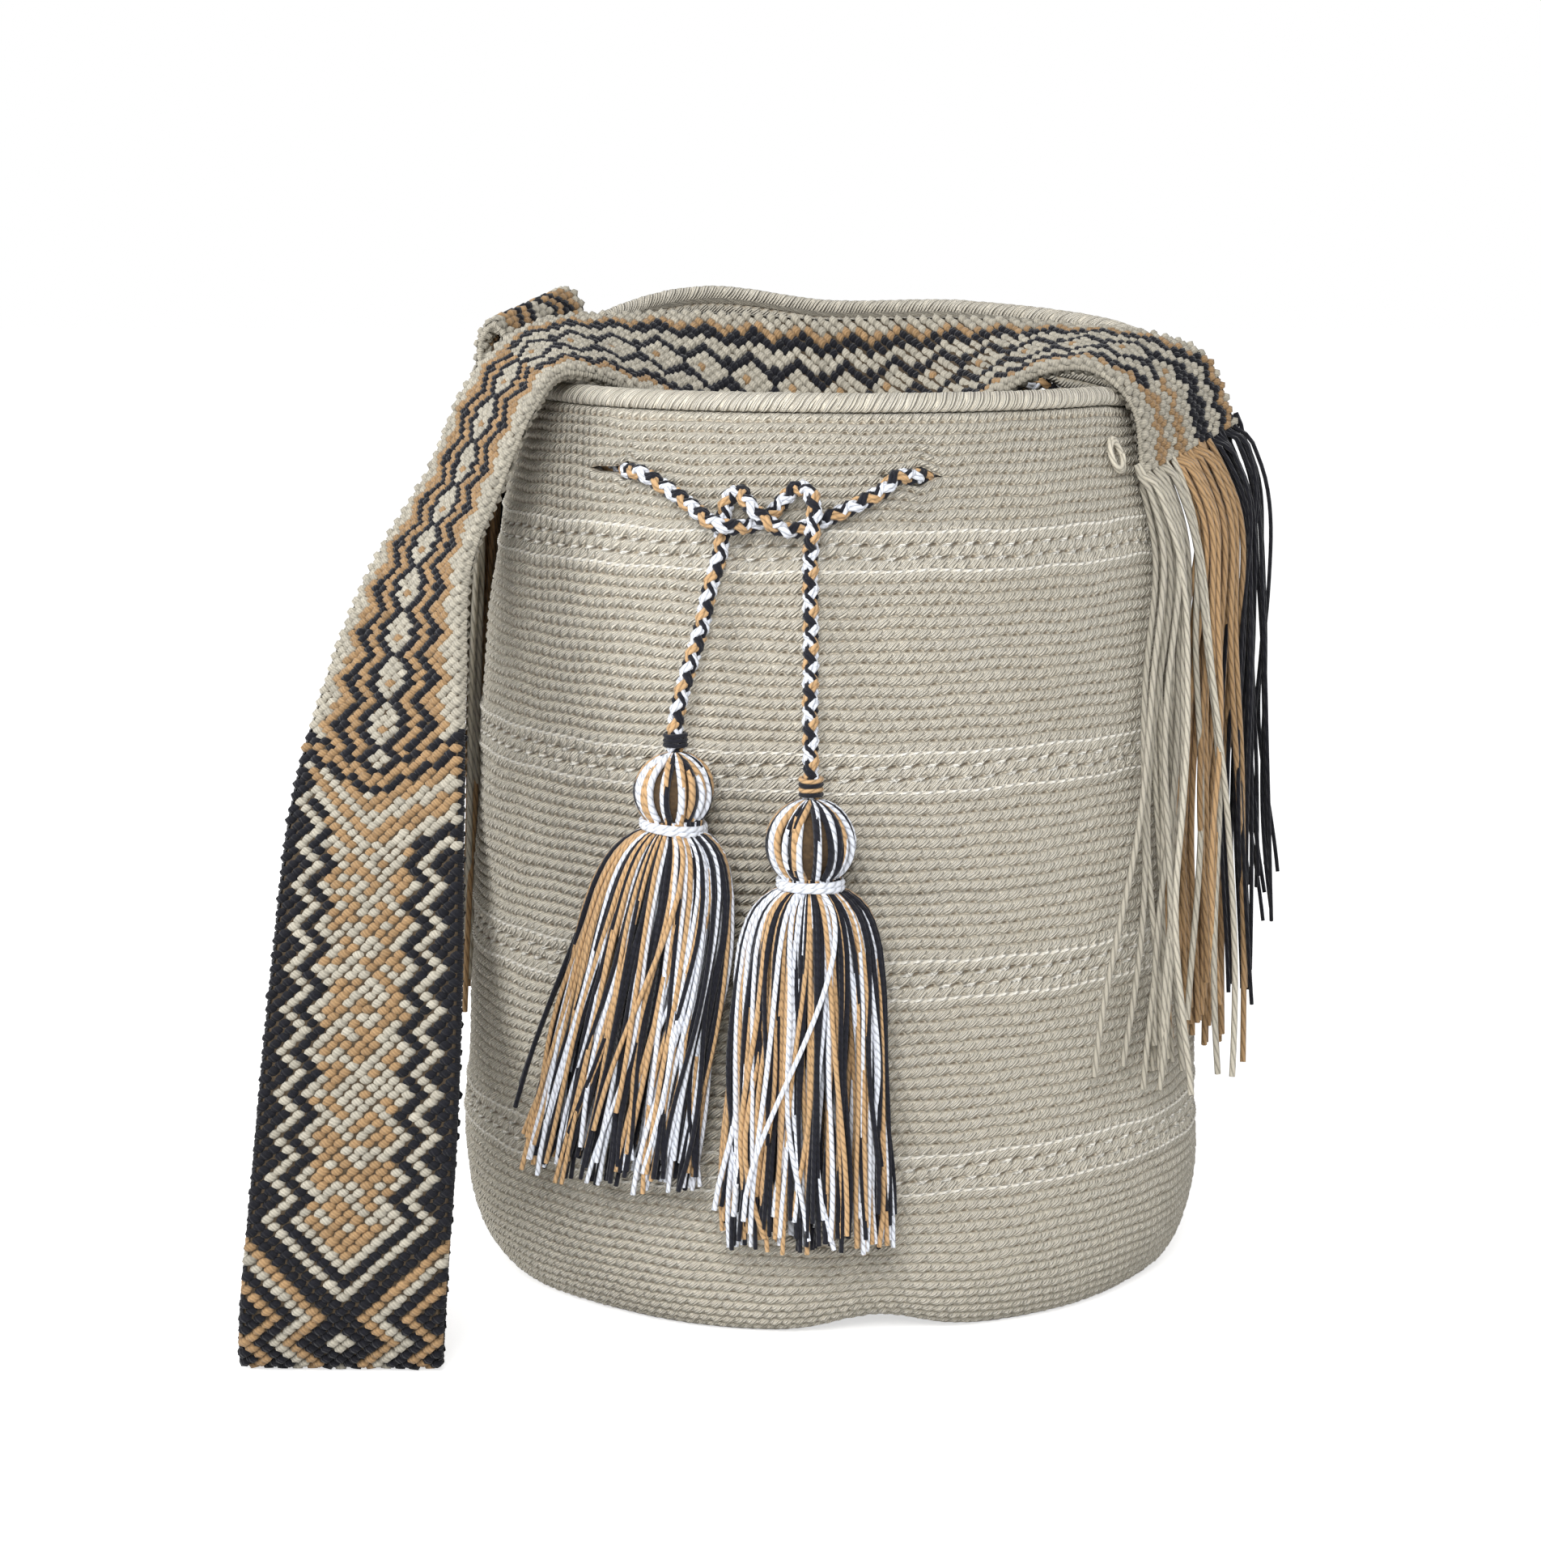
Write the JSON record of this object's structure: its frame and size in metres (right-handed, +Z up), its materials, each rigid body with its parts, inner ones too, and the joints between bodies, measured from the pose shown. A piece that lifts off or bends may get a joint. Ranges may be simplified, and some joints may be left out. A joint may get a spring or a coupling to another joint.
{
  "type": "crocheted bucket shoulder bag with drawstring",
  "caption": "Round crocheted bucket bag with a drawstring through the mouth, hanging tassels and a wide patterned shoulder strap.",
  "frame": {"origin": "centre of the flat base, on the surface that the bag stands on", "axes": "+Z up, -Y towards the front with the drawstring's tie, +X to the bag's right as seen from the front"},
  "size_m": [0.3218, 0.2742, 0.3114],
  "materials": {
    "cream_crochet": "matte crocheted cotton",
    "patterned_band": "knotted cotton band in cream, tan and black",
    "braided_cord": "twined cotton cord in black, white and tan",
    "tassel_yarn": "loose cotton yarn in white, tan and black",
    "white_yarn": "matte cotton yarn",
    "black_yarn": "matte cotton yarn",
    "cream_yarn": "matte plied cotton yarn",
    "tan_yarn": "matte plied cotton yarn"
  },
  "bodies": {
    "root": {"bag_body": "cream_crochet", "strap": "patterned_band", "drawstring": "braided_cord", "tassel_left": "tassel_yarn", "tassel_right": "tassel_yarn", "neck_binding_left": "white_yarn", "neck_binding_right": "white_yarn", "cord_whipping_left": "black_yarn", "cord_whipping_right": "black_yarn", "fringe_right_1_cream": "cream_yarn", "fringe_right_2_cream": "cream_yarn", "fringe_right_3_tan": "tan_yarn", "fringe_right_4_tan": "tan_yarn", "fringe_right_5_black": "black_yarn", "fringe_right_6_black": "black_yarn", "fringe_left_1_cream": "cream_yarn", "fringe_left_2_tan": "tan_yarn", "fringe_left_3_black": "black_yarn", "fringe_left_4_tan": "tan_yarn", "fringe_left_5_black": "black_yarn", "anchor_loop_right": "white_yarn"}
  },
  "joints": []
}
